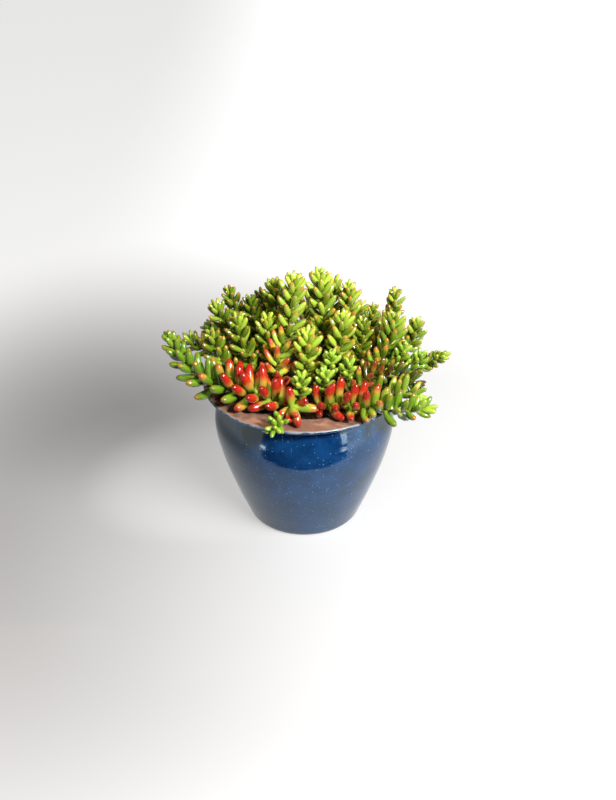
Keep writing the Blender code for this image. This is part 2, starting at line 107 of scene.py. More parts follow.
def smooth_line(points):
    """A Catmull-Rom curve through the points, as closely set points."""
    points = [np.array(p, float) for p in points]
    points = [2 * points[0] - points[1]] + points + [2 * points[-1] - points[-2]]
    line = []
    for a, b, c, d in zip(points, points[1:], points[2:], points[3:]):
        for t in np.linspace(0, 1, 24, endpoint=False):
            curve = 2 * b + (c - a) * t + (2 * a - 5 * b + 4 * c - d) * t**2 + (3 * b - a - 3 * c + d) * t**3
            line.append(curve / 2)
    return np.array(line + [points[-2]])


def throw(name, profile, sides):
    """Raises a turned wall ring by ring, as on the wheel, from a profile of (radius, height) points."""
    deselect()
    radius, height = profile[0]
    bpy.ops.mesh.primitive_circle_add(vertices=sides, radius=radius, location=(0, 0, height))
    bpy.context.object.name = name
    bpy.ops.object.transform_apply()
    bpy.ops.object.mode_set(mode="EDIT")
    for (old_radius, old_height), (radius, height) in zip(profile, profile[1:]):
        bpy.ops.mesh.extrude_region_move(TRANSFORM_OT_translate={"value": (0, 0, height - old_height)})
        pull = radius / old_radius
        bpy.ops.transform.resize(value=(pull, pull, 1), center_override=(0, 0, 0))
    bpy.ops.object.mode_set(mode="OBJECT")
    return bpy.context.object


def close_and_face_outward(piece, close):
    """Closes a turned wall's open ends with one edit-mode call, and turns its faces outward."""
    bpy.ops.object.mode_set(mode="EDIT")
    bpy.ops.mesh.select_all(action="DESELECT")
    bpy.ops.mesh.select_non_manifold()
    close()
    bpy.ops.mesh.select_all(action="SELECT")
    bpy.ops.mesh.normals_make_consistent(inside=False)
    bpy.ops.object.mode_set(mode="OBJECT")
    piece.data.shade_smooth()


def set_looks(mesh, **values):
    """Writes named numbers on a mesh's points, for its material to read."""
    for name, value in values.items():
        filled = np.zeros(len(mesh.vertices), np.float32) + np.asarray(value, np.float32)
        mesh.attributes.new(name, "FLOAT", "POINT").data.foreach_set("value", filled)


belly = smooth_line(BELLY)
belly = even_points(belly, round(distances(belly)[-1] / RING_STEP) + 1)
rise = belly[:, 1]
finger_rings = FINGER_DEPTH * np.sin(rise / FINGER_RING * 2 * math.pi + 0.7 * np.sin(rise / (9 * MM)))
lip_under = smooth_line([
    NECK, (76.6 * MM, 128.2 * MM), (80.5 * MM, 130.8 * MM), (85.6 * MM, 132.3 * MM), (88.6 * MM, 133.5 * MM),
    (89.9 * MM, 135.2 * MM)])
lip_round = [(89.6 * MM, 136.2 * MM), (88.9 * MM, 136.8 * MM), (87.8 * MM, 136.9 * MM)]
lip_top = [
    (radius, POT_HEIGHT - 0.1 * MM - (LIP_RADIUS - radius) / (LIP_RADIUS - MOUTH_RADIUS) * LIP_FALL * 0.95)
    for radius in np.linspace(86 * MM, 62.5 * MM, 14)]
mouth = [(61 * MM, 131.6 * MM), (60.2 * MM, 130.4 * MM), (60 * MM, 127 * MM)]
hollow = [(radius - WALL, height) for radius, height in belly[-2:3:-3]]
base = [
    (44 * MM, FLOOR), (26 * MM, FLOOR), (DRAIN_RADIUS + 1 * MM, FLOOR), (DRAIN_RADIUS, FLOOR - 1 * MM),
    (DRAIN_RADIUS, FOOT_RECESS + 0.6 * MM), (DRAIN_RADIUS + 0.6 * MM, FOOT_RECESS), (26 * MM, FOOT_RECESS)]
foot = [
    (FOOT_RADIUS - FOOT_RING_WIDTH - 0.4 * MM, FOOT_RECESS), (FOOT_RADIUS - FOOT_RING_WIDTH, 1.6 * MM),
    (FOOT_RADIUS - FOOT_RING_WIDTH + 0.8 * MM, 0), (FOOT_RADIUS - 1.2 * MM, 0), (FOOT_RADIUS, 0.5 * MM),
    (FOOT_RADIUS + 0.9 * MM, 1.5 * MM)]
glazed = [(radius + ring, height) for (radius, height), ring in zip(belly, finger_rings)]
glazed += [tuple(point) for point in even_points(lip_under, 12)[1:]] + lip_round[:1]
bare = lip_round[1:] + lip_top + mouth + hollow + base
pot = throw("pot_thrown", foot + glazed + bare, POT_SIDES)
close_and_face_outward(pot, bpy.ops.mesh.bridge_edge_loops)

# How bare each point is: the glaze thins over the last rings to the lip's edge, and ends in a wandering
# line. The lip's top, the inside and the foot are bare. The pale line where it thins is partly the thin
# glaze's own colour and partly a painted highlight along the edge.
THIN_RINGS = 5
THIN_BARENESS = 0.36
points = np.array([v.co for v in pot.data.vertices])
profile = np.array(foot + glazed + bare)
nearest = np.array([
    np.argmin(np.hypot(profile[:, 0] - math.hypot(x, y), profile[:, 1] - z)) for x, y, z in points])
glaze_end = len(foot) + len(glazed) + 1
thin_edge_and_highlight = THIN_BARENESS * np.clip((nearest - glaze_end + THIN_RINGS) / THIN_RINGS, 0, 1)
bareness = np.where((nearest >= len(foot) - 1) & (nearest < glaze_end), thin_edge_and_highlight, 1.0)
set_looks(pot.data, bare=bareness)


def colour(hex_code):
    """The linear colour of an sRGB hex value."""
    parts = [int(hex_code[i:i + 2], 16) / 255 for i in (1, 3, 5)]
    return [p / 12.92 if p <= 0.04045 else ((p + 0.055) / 1.055) ** 2.4 for p in parts] + [1]


def add(tree, kind, inputs=None, take=0, **settings):
    """Adds a shader node to a tree, makes its settings, fills or links its inputs, and hands back the
    output that is asked for. Numbered inputs are, for a map range, 0 its value, 1 and 2 the range it
    comes from and 3 and 4 the one it goes to, and for a mix of colours, 0 its share, 6 and 7 the two."""
    made = tree.nodes.new("ShaderNode" + kind)
    for name, value in settings.items():
        setattr(made, name, value)
    for socket, value in (inputs or {}).items():
        if isinstance(value, bpy.types.NodeSocket):
            tree.links.new(value, made.inputs[socket])
        else:
            made.inputs[socket].default_value = value
    return made.outputs[take]


def finish(name, **fixed):
    """A new material with a Principled surface, and the sockets that are the same all over set."""
    made = bpy.data.materials.new(name)
    made.use_nodes = True
    shader = made.node_tree.nodes["Principled BSDF"]
    for socket, value in fixed.items():
        shader.inputs[socket.replace("_", " ").title().replace("Ior", "IOR")].default_value = value
    return made, made.node_tree, shader


# Stoneware glaze is glass, here one rich in oxides: an IOR of 1.7, a low roughness and reflections a
# little blue, over a deep cobalt body colour that clouds where it ran thicker. Its orange peel is about
# 2 mm across, and its undissolved specks up to a millimetre. Where it runs thin at the lip's edge it turns
# duller, and a pale line is painted there, partly the glaze's own break and partly a painted highlight.
# Bare fired clay is matt, pinkish and sandy.
GLAZE_POOL = 70 * MM
GLAZE_CLOUD = 18 * MM
EDGE_WANDER = 5.5 * MM
SPECK_SPACING = 1.5 * MM
ORANGE_PEEL = 1.8 * MM
CLAY_GRIT = 1.1 * MM
stoneware, tree, shader = finish("glazed_stoneware", ior=1.7, specular_tint=(0.7, 0.93, 1, 1))
place = add(tree, "TexCoord", take="Object")
bare_share = add(tree, "Attribute", take="Fac", attribute_name="bare")
wander = add(tree, "TexNoise", {"Vector": place, "Scale": 1 / EDGE_WANDER, "Detail": 3})
edge = add(tree, "Math", {0: wander, 1: 0.5, 2: bare_share}, operation="MULTIPLY_ADD")
is_bare = add(tree, "MapRange", {0: edge, 1: 0.62, 2: 0.86}, interpolation_type="SMOOTHSTEP")
clouds = add(tree, "TexNoise", {"Vector": place, "Scale": 1 / GLAZE_CLOUD, "Detail": 6, "Roughness": 0.7})
pool = add(tree, "TexNoise", {"Vector": place, "Scale": 1 / GLAZE_POOL, "Detail": 2})
cell = add(tree, "TexVoronoi", {"Vector": place, "Scale": 1 / SPECK_SPACING}, "Distance")
picked = add(tree, "SeparateColor", {"Color": cell.node.outputs["Color"]})
in_cell = add(tree, "MapRange", {0: cell, 1: 0.18, 2: 0.34, 3: 1, 4: 0})
speck = add(tree, "Math", {0: in_cell, 1: picked}, operation="MULTIPLY")
glaze = colour("#041f3d")
# The last layer, #6c6967 along the thin edge, is partly the glaze's own break and partly a painted highlight.
for share, low, high, most, shade in (
        (clouds, 0.35, 0.65, 1, "#092c53"), (pool, 0.45, 0.75, 0.3, "#123a58"),
        (speck, 0.8, 0.98, 0.65, "#a4c4d8"), (edge, 0.38, 0.52, 0.85, "#6c6967")):
    share = add(tree, "MapRange", {0: share, 1: low, 2: high, 4: most}, interpolation_type="SMOOTHSTEP")
    glaze = add(tree, "Mix", {0: share, 6: glaze, 7: colour(shade)}, 2, data_type="RGBA")
grit = add(tree, "TexNoise", {"Vector": place, "Scale": 1 / CLAY_GRIT, "Detail": 3})
clay = colour("#6e4631")
for share, low, high, most, shade in (
        (clouds, 0.35, 0.65, 1, "#96694f"), (wander, 0.45, 0.65, 0.6, "#5c3c2c"),
        (pool, 0.4, 0.6, 0.4, "#5a3a2a"), (grit, 0.55, 0.75, 0.5, "#4b3020")):
    share = add(tree, "MapRange", {0: share, 1: low, 2: high, 4: most}, interpolation_type="SMOOTHSTEP")
    clay = add(tree, "Mix", {0: share, 6: clay, 7: colour(shade)}, 2, data_type="RGBA")
surface = add(tree, "Mix", {0: is_bare, 6: glaze, 7: clay}, 2, data_type="RGBA")
tree.links.new(surface, shader.inputs["Base Color"])
rough = add(tree, "MapRange", {0: edge, 1: 0.36, 2: 0.62, 3: 0.1, 4: 0.85})
tree.links.new(rough, shader.inputs["Roughness"])
peel = add(tree, "TexNoise", {"Vector": place, "Scale": 1 / ORANGE_PEEL, "Detail": 2})
relief = add(tree, "Math", {0: grit, 1: is_bare, 2: peel}, operation="MULTIPLY_ADD")
bump = add(tree, "Bump", {"Height": relief, "Strength": 0.6, "Distance": 0.1 * MM})
tree.links.new(bump, shader.inputs["Normal"])
pot.data.materials.append(stoneware)
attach(pot, "root")
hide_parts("pot")


# The potting mix. Bark, peat and grit fill the pot to just under its mouth, settled by watering, with a
# plain hole that each stem stands in.
SOIL_LEVEL = 129 * MM
SEAT_GAP = 0.3 * MM
SOIL_SIDES = 96
SOIL_RINGS = 22
SOIL_WAVES = 1.6 * MM
STEM_DEPTH = 16 * MM
STEM_RADIUS = 1.9 * MM
HOLE_GAP = 0.4 * MM
CRUMBS = 260
CRUMB_SEED = 21
CRUMB_SIZES = (0.8, 1.2, 1.6, 2.2, 3)
CRUMB_REACH = 57 * MM


def shoot(finish, leaf, bare, route, sparse=1.0, head=0.62, plump=0.28, zone=10, grown=None):
    """One leafy stem, in mm: its finish, the length of its oldest leaves, how much of it is bare above
    the mix, its route from where it leaves the mix, how many times wider than usual its leaves are set,
    how long the leaves at its tip are, as a share of its oldest, how thick its leaves are for their
    length, how far from its tip they have opened, and how far from it they are grown."""
    return {
        "finish": finish, "leaf": leaf, "bare": bare, "route": route, "sparse": sparse, "head": head,
        "plump": plump, "zone": zone, "grown": grown or zone}


STEMS = {
    "trailer_left": shoot("red", 26, 3, [
        (-14, -46), (-33, -49, 147), (-48, -45, 147), (-63, -39, 148), (-78, -36, 152), (-94, -32, 161),
        (-108, -22, 174), (-118, -10, 190)], 1.25, head=0.45, plump=0.29, grown=60),
    "trailer_right": shoot("red", 23, 2, [
        (10, -49), (24, -57, 145), (41, -61, 145), (58, -67, 146), (74, -72, 147), (92, -72, 147),
        (110, -68, 149)], 1.25, head=0.55, plump=0.31, grown=35),
    "trailer_front": shoot("young", 12, 34, [
        (-14, -53), (-17, -66, 142), (-20, -82, 143), (-24, -93, 143), (-27, -104, 143)],
        head=0.7, plump=0.36, zone=5),
    "stub_front": shoot("red", 24, 8, [
        (-5, -52), (-8, -58, 141), (-11, -67, 147), (-12, -77, 151)], 4, head=0.8, plump=0.35, zone=2),
    "trailer_right_high": shoot("blush", 18, 3, [
        (37, -42), (43, -41, 149), (52, -38, 157), (64, -36, 160), (78, -36, 159), (91, -38, 155),
        (104, -40, 151)], 1.3),
    "trailer_right_low": shoot("green", 20, 4, [
        (42, -35), (57, -46, 146), (74, -51, 149), (88, -52, 151), (104, -53, 149)], 1.7),
    "trailer_right_far": shoot("green", 17, 12, [
        (56, 0), (82, -8, 148), (98, -14, 157), (112, -20, 166), (126, -26, 177)],
        0.85, head=0.48, plump=0.26, grown=45),
    "leader_centre": shoot("blush", 20, 4, [
        (-27, -26), (-24, -23, 158), (-20, -16, 172), (-14, -8, 186), (-11, -2, 208), (-8, 3, 239)],
        head=0.55),
    "rosette_front": shoot("young", 15, 8, [(-3, -42), (-3, -49, 150), (-2, -55, 175)],
        1.3, head=0.65, plump=0.27, zone=7),
    "rosette_middle": shoot("young", 15, 8, [(15, -36), (17, -42, 152), (18, -46, 175)],
        1.3, head=0.65, plump=0.27, zone=7),
    "rosette_right_low": shoot("young", 14, 14, [(34, -32), (37, -36, 160), (38, -39, 181)],
        1.3, head=0.65, plump=0.27, zone=7),
    "rosette_right_high": shoot("young", 14, 20, [(19, -24), (22, -31, 164), (23, -35, 186)],
        1.3, head=0.65, plump=0.27, zone=7),
    "inner_left_low": shoot("green", 19, 6, [
        (-44, -18), (-66, -17, 155), (-75, -16, 173), (-80, -16, 194)], 1.1),
    "inner_left_high": shoot("green", 18, 14, [(-40, -8), (-49, -13, 166), (-55, -12, 184), (-58, -9, 207)]),
    "inner_centre_left": shoot("green", 17, 20, [(-26, -9), (-31, -4, 170), (-32, -2, 184), (-31, -1, 203)]),
    "inner_centre": shoot("green", 19, 14, [(1, -21), (2, -25, 168), (3, -25, 182), (2, -23, 200)],
        plump=0.31),
    "inner_centre_right": shoot("green", 20, 18, [
        (27, -14), (30, -17, 168), (32, -16, 188), (34, -13, 211)], head=0.55),
    "left_high": shoot("green", 16, 14, [(-40, 8), (-62, 12, 170), (-72, 12, 190), (-79, 12, 209)]),
    "left_back_high": shoot("blush", 15, 16, [(-38, 22), (-54, 29, 172), (-62, 30, 192), (-67, 30, 215)]),
    "left_shade": shoot("green", 16, 20, [(-27, 16), (-40, 22, 172), (-46, 25, 190), (-48, 26, 208)]),
    "crown_left": shoot("green", 18, 30, [(-13, 6), (-20, 16, 180), (-25, 20, 204), (-27, 22, 225)]),
    "crown_left_back": shoot("green", 15, 24, [(-22, 30), (-31, 38, 170), (-38, 41, 190), (-40, 42, 207)]),
    "crown_centre": shoot("green", 20, 34, [(12, 0), (17, 5, 176), (16, 10, 204), (12, 15, 237)], head=0.55),
    "crown_centre_back": shoot("green", 15, 26, [(14, 20), (22, 30, 176), (26, 33, 200), (27, 34, 223)]),
    "crown_right": shoot("blush", 17, 28, [(28, 8), (38, 15, 174), (40, 19, 198), (38, 22, 222)]),
    "crown_right_back": shoot("blush", 13, 22, [(40, 22), (54, 29, 166), (60, 31, 182), (62, 31, 198)]),
    "inner_right": shoot("green", 15, 18, [(43, -1), (49, 2, 162), (51, 4, 178), (51, 5, 197)]),
    "right_back_high": shoot("blush", 15, 16, [(50, 20), (72, 32, 168), (80, 35, 188), (81, 36, 211)]),
    "right_high": shoot("blush", 20, 10, [(50, -9), (68, -8, 161), (76, -3, 178), (79, 2, 203)], head=0.55),
    "right_outer": shoot("green", 15, 14, [(52, 6), (84, 10, 158), (96, 12, 170), (100, 14, 193)]),
    "right_small": shoot("young", 13, 12, [(50, -20), (70, -18, 156), (82, -18, 166), (87, -19, 186)],
        1.3, head=0.65, plump=0.28, zone=7),
    "right_small_low": shoot("young", 13, 16, [(46, -29), (78, -26, 156), (96, -22, 162), (102, -22, 180)],
        1.3, head=0.65, plump=0.28, zone=7),
    "back_left_low": shoot("blush", 17, 6, [(-52, 8), (-78, 22, 149), (-96, 30, 152), (-112, 34, 162)]),
    "back_left_outer": shoot("red", 17, 6, [(-48, 22), (-66, 46, 150), (-80, 58, 150), (-95, 67, 157)]),
    "back_left": shoot("blush", 17, 6, [(-36, 38), (-50, 62, 150), (-60, 76, 152), (-69, 87, 162)]),
    "back_centre_left": shoot("red", 17, 6, [(-18, 46), (-24, 70, 150), (-30, 86, 152), (-34, 96, 160)]),
    "back_centre": shoot("blush", 17, 6, [(2, 48), (4, 72, 149), (7, 90, 148), (9, 103, 152)]),
    "back_centre_right": shoot("red", 17, 6, [(22, 46), (31, 68, 150), (38, 82, 152), (44, 92, 162)]),
    "back_right": shoot("blush", 17, 6, [(38, 36), (56, 52, 152), (68, 64, 154), (80, 74, 164)]),
    "back_right_outer": shoot("green", 17, 6, [(53, 14), (78, 32, 149), (94, 40, 151), (107, 45, 160)]),
    "back_inner_left": shoot("green", 16, 16, [(-26, 34), (-38, 52, 160), (-46, 60, 174), (-50, 62, 187)]),
    "back_inner_centre": shoot("blush", 16, 18, [(-4, 32), (0, 44, 168), (4, 50, 186), (6, 52, 200)]),
    "back_inner_right": shoot("green", 16, 16, [(28, 30), (42, 48, 160), (50, 56, 172), (54, 58, 185)]),
}

soil_outline = [(radius, FLOOR + SEAT_GAP) for radius in (1 * MM, 30 * MM, 44 * MM - SEAT_GAP)]
soil_outline += [(radius - SEAT_GAP, height) for radius, height in hollow[::-1]]
soil_outline += [(MOUTH_RADIUS - SEAT_GAP, 127 * MM), (MOUTH_RADIUS - SEAT_GAP, SOIL_LEVEL - 0.8 * MM)]
soil_outline += [(radius, SOIL_LEVEL) for radius in np.linspace(MOUTH_RADIUS - 1.2 * MM, 1 * MM, SOIL_RINGS)]
soil = throw("soil_settled", soil_outline, SOIL_SIDES)
close_and_face_outward(soil, lambda: bpy.ops.mesh.fill_holes(sides=0))


def push_out(piece, texture_size, depth, group="", direction="NORMAL"):
    """Roughens a piece with a Displace modifier on a cloudy pattern of that size, and applies it."""
    pattern = bpy.data.textures.new("lumps", "CLOUDS")
    pattern.noise_scale = texture_size
    displace = piece.modifiers.new("lumps", "DISPLACE")
    displace.texture = pattern
    displace.strength = depth
    displace.mid_level = 0.55
    displace.direction = direction
    displace.vertex_group = group
    deselect()
    bpy.context.view_layer.objects.active = piece
    bpy.ops.object.modifier_apply(modifier=displace.name)


def joined(pieces):
    """Makes one object of several."""
    deselect()
    for piece in pieces:
        piece.select_set(True)
    bpy.context.view_layer.objects.active = pieces[0]
    bpy.ops.object.join()
    return bpy.context.object


top = soil.vertex_groups.new(name="top")
top.add([v.index for v in soil.data.vertices
         if v.co.z > SOIL_LEVEL - 0.1 * MM and math.hypot(v.co.x, v.co.y) < MOUTH_RADIUS - 3 * MM], 1, "ADD")
push_out(soil, 7 * MM, SOIL_WAVES, "top", "Z")
push_out(soil, 2 * MM, SOIL_WAVES * 0.6, "top", "Z")

cutters = []
for stem in STEMS.values():
    x, y = stem["route"][0]
    deselect()
    bpy.ops.mesh.primitive_cylinder_add(
        vertices=16, radius=STEM_RADIUS + HOLE_GAP, depth=2 * (STEM_DEPTH + HOLE_GAP),
        location=(x * MM, y * MM, SOIL_LEVEL))
    cutters.append(bpy.context.object)
cutter = joined(cutters)
holes = soil.modifiers.new("holes", "BOOLEAN")
holes.operation = "DIFFERENCE"
holes.solver = "MANIFOLD"
holes.object = cutter
deselect()
bpy.context.view_layer.objects.active = soil
bpy.ops.object.modifier_apply(modifier=holes.name)
bpy.data.objects.remove(cutter)
soil.data.set_sharp_from_angle(angle=math.radians(50))

# Crumbs of bark and a little pale grit lie on the mix, from under a millimetre to nearly 4 mm across.
scatter = random.Random(CRUMB_SEED)
deselect()
bpy.ops.mesh.primitive_ico_sphere_add(subdivisions=1, radius=0.5)
crumb = bpy.context.object
push_out(crumb, 0.55, 0.35)
feet = np.array([stem["route"][0] for stem in STEMS.values()]) * MM
crumbs = []
while len(crumbs) < CRUMBS:
    size = scatter.choice(CRUMB_SIZES) * MM
    radius, turn = CRUMB_REACH * math.sqrt(scatter.random()), scatter.uniform(0, 2 * math.pi)
    spot = np.array([radius * math.cos(turn), radius * math.sin(turn)])
    angles = [scatter.uniform(0, 6.28) for _ in range(3)]
    shape = [size * scatter.uniform(0.6, 1.3), size, size * scatter.uniform(0.4, 0.8)]
    tone = scatter.random()
    if np.linalg.norm(feet - spot, axis=1).min() < STEM_RADIUS + size:
        continue
    lump = crumb.copy()
    lump.data = crumb.data.copy()
    bpy.context.scene.collection.objects.link(lump)
    turned = Euler(angles).to_matrix()
    middle = Vector((*spot, SOIL_LEVEL + size * 0.3))
    for v in lump.data.vertices:
        v.co = turned @ Vector([c * s for c, s in zip(v.co, shape)]) + middle
    set_looks(lump.data, tone=tone)
    crumbs.append(lump)
bpy.data.objects.remove(crumb)
crumbs = joined(crumbs)
crumbs.name = "soil_crumbs"
crumbs.data.set_sharp_from_angle(angle=math.radians(35))

# Damp potting mix is matt and nearly black between its grains, which are a millimetre or so across. One
# crumb in twelve is pale grit.
MIX_GRAIN = 1.4 * MM
MIX_PATCH = 8 * MM
mix_finish, tree, shader = finish("potting_mix", roughness=0.95, ior=1.4)
place = add(tree, "TexCoord", take="Object")
tone = add(tree, "Attribute", take="Fac", attribute_name="tone")
grain = add(tree, "TexNoise", {"Vector": place, "Scale": 1 / MIX_GRAIN, "Detail": 6, "Roughness": 0.7})
patch = add(tree, "TexNoise", {"Vector": place, "Scale": 1 / MIX_PATCH, "Detail": 3})
dark = colour("#1c140f")
for share, low, high, most, shade in (
        (patch, 0.35, 0.65, 1, "#2e2119"), (tone, 0.3, 0.9, 1, "#4a3729"), (tone, 0.915, 0.925, 1, "#a99d8b"),
        (grain, 0.4, 0.75, 0.6, "#59442f")):
    share = add(tree, "MapRange", {0: share, 1: low, 2: high, 4: most}, interpolation_type="SMOOTHSTEP")
    dark = add(tree, "Mix", {0: share, 6: dark, 7: colour(shade)}, 2, data_type="RGBA")
tree.links.new(dark, shader.inputs["Base Color"])
rough = add(tree, "Bump", {"Height": grain, "Strength": 0.8, "Distance": 0.5 * MM})
tree.links.new(rough, shader.inputs["Normal"])
for piece in (soil, crumbs):
    piece.data.materials.clear()
    piece.data.materials.append(mix_finish)
    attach(piece, "root")
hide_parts("soil")


# The leafy stems. Each is one shoot as it grew: a stem that starts green and turns woody, and leaves like
# jelly beans set round it a golden angle apart, small and closed at its tip, longer and wider open below.
# A leaf gives way where it would touch the pot, the mix or a neighbour.
STEM_TIP_RADIUS = 1.2 * MM
STEM_STEP = 1 * MM
SEED = 7
GOLDEN_ANGLE = math.radians(137.508)
TIP_GAP = 0.7 * MM
FULL_GAP = 1.9 * MM
GAP_GROWTH = 0.06
OLD_ZONE = 80 * MM
TIP_REACH = 10 * MM
TIP_SPREAD = math.radians(18)
FULL_SPREAD = math.radians(54)
FOOT_SPREAD = math.radians(66)
LYING_SPREAD = math.radians(22)
LEAF_CURL = 1
LEAF_LIFT = 0.5
LEAF_SWAY = math.radians(5)
GROWN_SHARE = 0.92
CLEARANCE = 0.4 * MM
LEAF_STATIONS = (0.22, 0.36, 0.5, 0.64, 0.78, 0.9)
LEAF_WIDTHS = (
    (0.0, 0.38), (0.13, 0.69), (0.3, 0.92), (0.48, 1.0), (0.68, 0.95), (0.83, 0.77), (0.93, 0.48), (1.0, 0.0))
LEAF_TRIES = [
    (spread_share, math.radians(turn), size)
    for size in (1.0, 0.86, 0.72)
    for spread_share in (1.0, 0.8, 0.6, 0.42)
    for turn in (0, 15, -15, 30, -30, 45, -45)
]


def unit(vector):
    """A vector, made one long."""
    return vector / np.linalg.norm(vector)


def stem_line(points):
    """A stem's middle line, as points STEM_STEP apart. It starts straight up, and it stops short of
    the last point of its route, which the leaves at its tip reach."""
    below = np.array(points[0]) - (0, 0, STEM_DEPTH)
    line = smooth_line([below] + points)
    line = line[np.argmin(np.linalg.norm(line - points[0], axis=1)):]
    whole = distances(line)[-1]
    length = whole - TIP_REACH
    return even_points(line, round(length / STEM_STEP) + 1, length / whole)


def side_frames(line):
    """Two side directions for each point of a line, carried along it without a twist."""
    tangents = np.gradient(line, axis=0)
    tangents /= np.linalg.norm(tangents, axis=1)[:, None]
    first = unit(np.cross(tangents[0], (0, 1, 0)))
    firsts = []
    for tangent in tangents:
        first = unit(first - tangent * (first @ tangent))
        firsts.append(first)
    firsts = np.array(firsts)
    return tangents, firsts, np.cross(tangents, firsts)


def leaf_stations(length, bare_length, sparse):
    """How far each leaf sits from the stem's tip: close together at the tip, and wider apart below."""
    stations, at = [], 0.4 * MM
    while at < length - bare_length:
        stations.append(at)
        at += sparse * min(FULL_GAP, TIP_GAP + GAP_GROWTH * at)
    return stations


def leaf_width(t):
    """A leaf's width at a share t of its length, as a share of its widest."""
    return np.interp(t, *zip(*LEAF_WIDTHS))


def leaf_line(leaf, t):
    """Points on the middle line of a leaf, at shares t of its length."""
    root, start, end, length = leaf["root"], leaf["start"], leaf["end"], leaf["length"]
    bend = root + start * 0.5 * length
    tip = bend + end * 0.5 * length
    t = np.asarray(t, float)[:, None]
    return (1 - t) ** 2 * root + 2 * t * (1 - t) * bend + t**2 * tip


def leaf_at(stem, index, spread_share=1.0, turn=0.0, size=1.0):
    """The leaf that a stem carries at one of its stations, tilted, turned or shortened."""
    line, (tangents, firsts, seconds) = stem["line"], stem["frames"]
    from_tip = stem["stations"][index]
    i = max(len(line) - 1 - round(from_tip / STEM_STEP), 0)
    age = min(from_tip / stem["zone"], 1.0)
    old = min(from_tip / OLD_ZONE, 1.0)
    lying = 1 - abs(tangents[i][2])
    sway, stretch = stem["sways"][index]
    opening = TIP_SPREAD + (FULL_SPREAD - TIP_SPREAD) * age**0.7 + (FOOT_SPREAD - FULL_SPREAD) * old
    opening = (opening + LYING_SPREAD * lying * age + sway * LEAF_SWAY) * spread_share
    angle = index * GOLDEN_ANGLE + stem["turn"] + turn + sway * LEAF_SWAY
    side = firsts[i] * math.cos(angle) + seconds[i] * math.sin(angle)
    up = np.array((0, 0, LEAF_LIFT)) * age * lying
    start = unit(tangents[i] * math.cos(opening) + side * math.sin(opening) + up)
    end = unit(start + LEAF_CURL * age * (1 - 0.7 * lying) * tangents[i] + 1.6 * up)
    grown = min(from_tip / stem["grown"], 1.0)
    share = stem["head"] + (GROWN_SHARE - stem["head"]) * grown + (1 - GROWN_SHARE) * old
    length = stem["leaf"] * share * size * (1 + 0.06 * stretch)
    girth = stem["plump"] * stem["leaf"] * (0.15 + 0.85 * share) * (0.4 + 0.6 * size)
    return {"root": line[i], "start": start, "end": end, "length": length, "girth": girth, "height": i}


def balls_of(leaf):
    """A leaf as a row of balls, for telling how near it comes to its neighbours."""
    centres = leaf_line(leaf, LEAF_STATIONS)
    radii = leaf_width(LEAF_STATIONS) * leaf["girth"] / 2
    return centres, radii


def pot_outline():
    """The line that leaves keep clear of, in the plane through the pot's axis: pot, mouth and mix."""
    coarse = [tuple(point) for point in even_points(smooth_line(BELLY), 6)]
    return np.array([(FOOT_RADIUS, 0)] + coarse + [
        (NECK[0] + 2 * MM, NECK[1] + 4.5 * MM),
        (LIP_RADIUS - 2 * MM, POT_HEIGHT - LIP_EDGE - 0.8 * MM),
        (LIP_RADIUS, POT_HEIGHT - LIP_EDGE * 0.6),
        (LIP_RADIUS - 1.6 * MM, POT_HEIGHT),
        (MOUTH_RADIUS + 3 * MM, POT_HEIGHT - 0.85 * LIP_FALL),
        (MOUTH_RADIUS, SOIL_LEVEL + 2 * MM),
        (0, SOIL_LEVEL),
    ])


def pot_clearance(centres, radii, outline):
    """How far the balls stay from the pot and the mix."""
    points = np.stack([np.hypot(centres[:, 0], centres[:, 1]), centres[:, 2]], axis=1)
    starts, runs = outline[:-1], np.diff(outline, axis=0)
    share = ((points[:, None] - starts) * runs).sum(2) / (runs**2).sum(1)
    nearest = starts + np.clip(share, 0, 1)[..., None] * runs
    return (np.linalg.norm(points[:, None] - nearest, axis=2).min(1) - radii).min()


def is_clear(leaf, own, outline, stem_balls, placed):
    """Whether a leaf keeps its clearance from the pot, from other stems and from their leaves."""
    centres, radii = balls_of(leaf)
    if pot_clearance(centres, radii, outline) < CLEARANCE:
        return False
    for others, sizes, owners in (stem_balls, placed):
        near = (owners != own) & (np.abs(others - centres[2]).max(1) < 26 * MM)
        if near.any():
            apart = np.linalg.norm(centres[:, None] - others[near], axis=2)
            if (apart - radii[:, None] - sizes[near]).min() < CLEARANCE:
                return False
    return True


